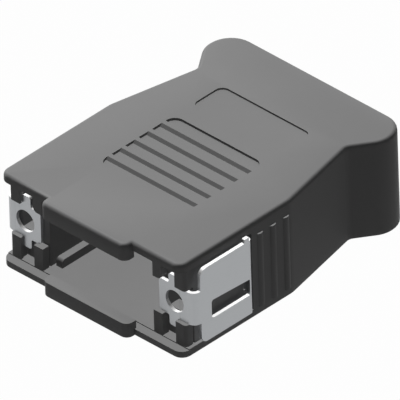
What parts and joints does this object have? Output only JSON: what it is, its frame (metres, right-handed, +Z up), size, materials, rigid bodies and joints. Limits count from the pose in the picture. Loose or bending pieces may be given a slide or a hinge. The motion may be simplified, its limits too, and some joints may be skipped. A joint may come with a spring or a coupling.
{
  "type": "d-sub hood",
  "caption": "Two-part plastic hood for a D-shaped connector, open at the front, with a sprung steel latch on each side, a waisted grip and a clamp for the cable inside.",
  "frame": {"origin": "centre of the underside, in the middle of the hood's length and width", "axes": "+Z up from the underside, -Y to the connector at the front, +Y to the cable outlet, +X to the right seen from above with the outlet at the top"},
  "size_m": [0.0344, 0.045, 0.0148],
  "materials": {
    "shell": "moulded dark grey, fine matt",
    "spring": "bright nickel-plated spring steel",
    "clamp": "pressed zinc-plated steel",
    "screw": "zinc plated"
  },
  "bodies": {
    "hood": {"upper_shell": "shell", "lower_shell": "shell", "clamp_bar_upper": "clamp", "clamp_bar_lower": "clamp", "clamp_screw_left": "screw", "clamp_screw_right": "screw", "clamp_nut_left": "screw", "clamp_nut_right": "screw", "shell_screw_left": "screw", "shell_screw_right": "screw"},
    "left_latch": {"latch_spring_left": "spring"},
    "right_latch": {"latch_spring_right": "spring"}
  },
  "joints": [
    {"name": "right_latch_press", "type": "hinge", "parent": "hood", "child": "right_latch", "pos_m": [0.0155, -0.0084, 0.0073], "axis": [0, 0, 1], "range_deg": [-3.2, 0], "stiffness_Nm_per_rad": 0.9},
    {"name": "left_latch_press", "type": "hinge", "parent": "hood", "child": "left_latch", "pos_m": [-0.0155, -0.0084, 0.0073], "axis": [0, 0, 1], "range_deg": [0, 3.2], "stiffness_Nm_per_rad": 0.9}
  ]
}
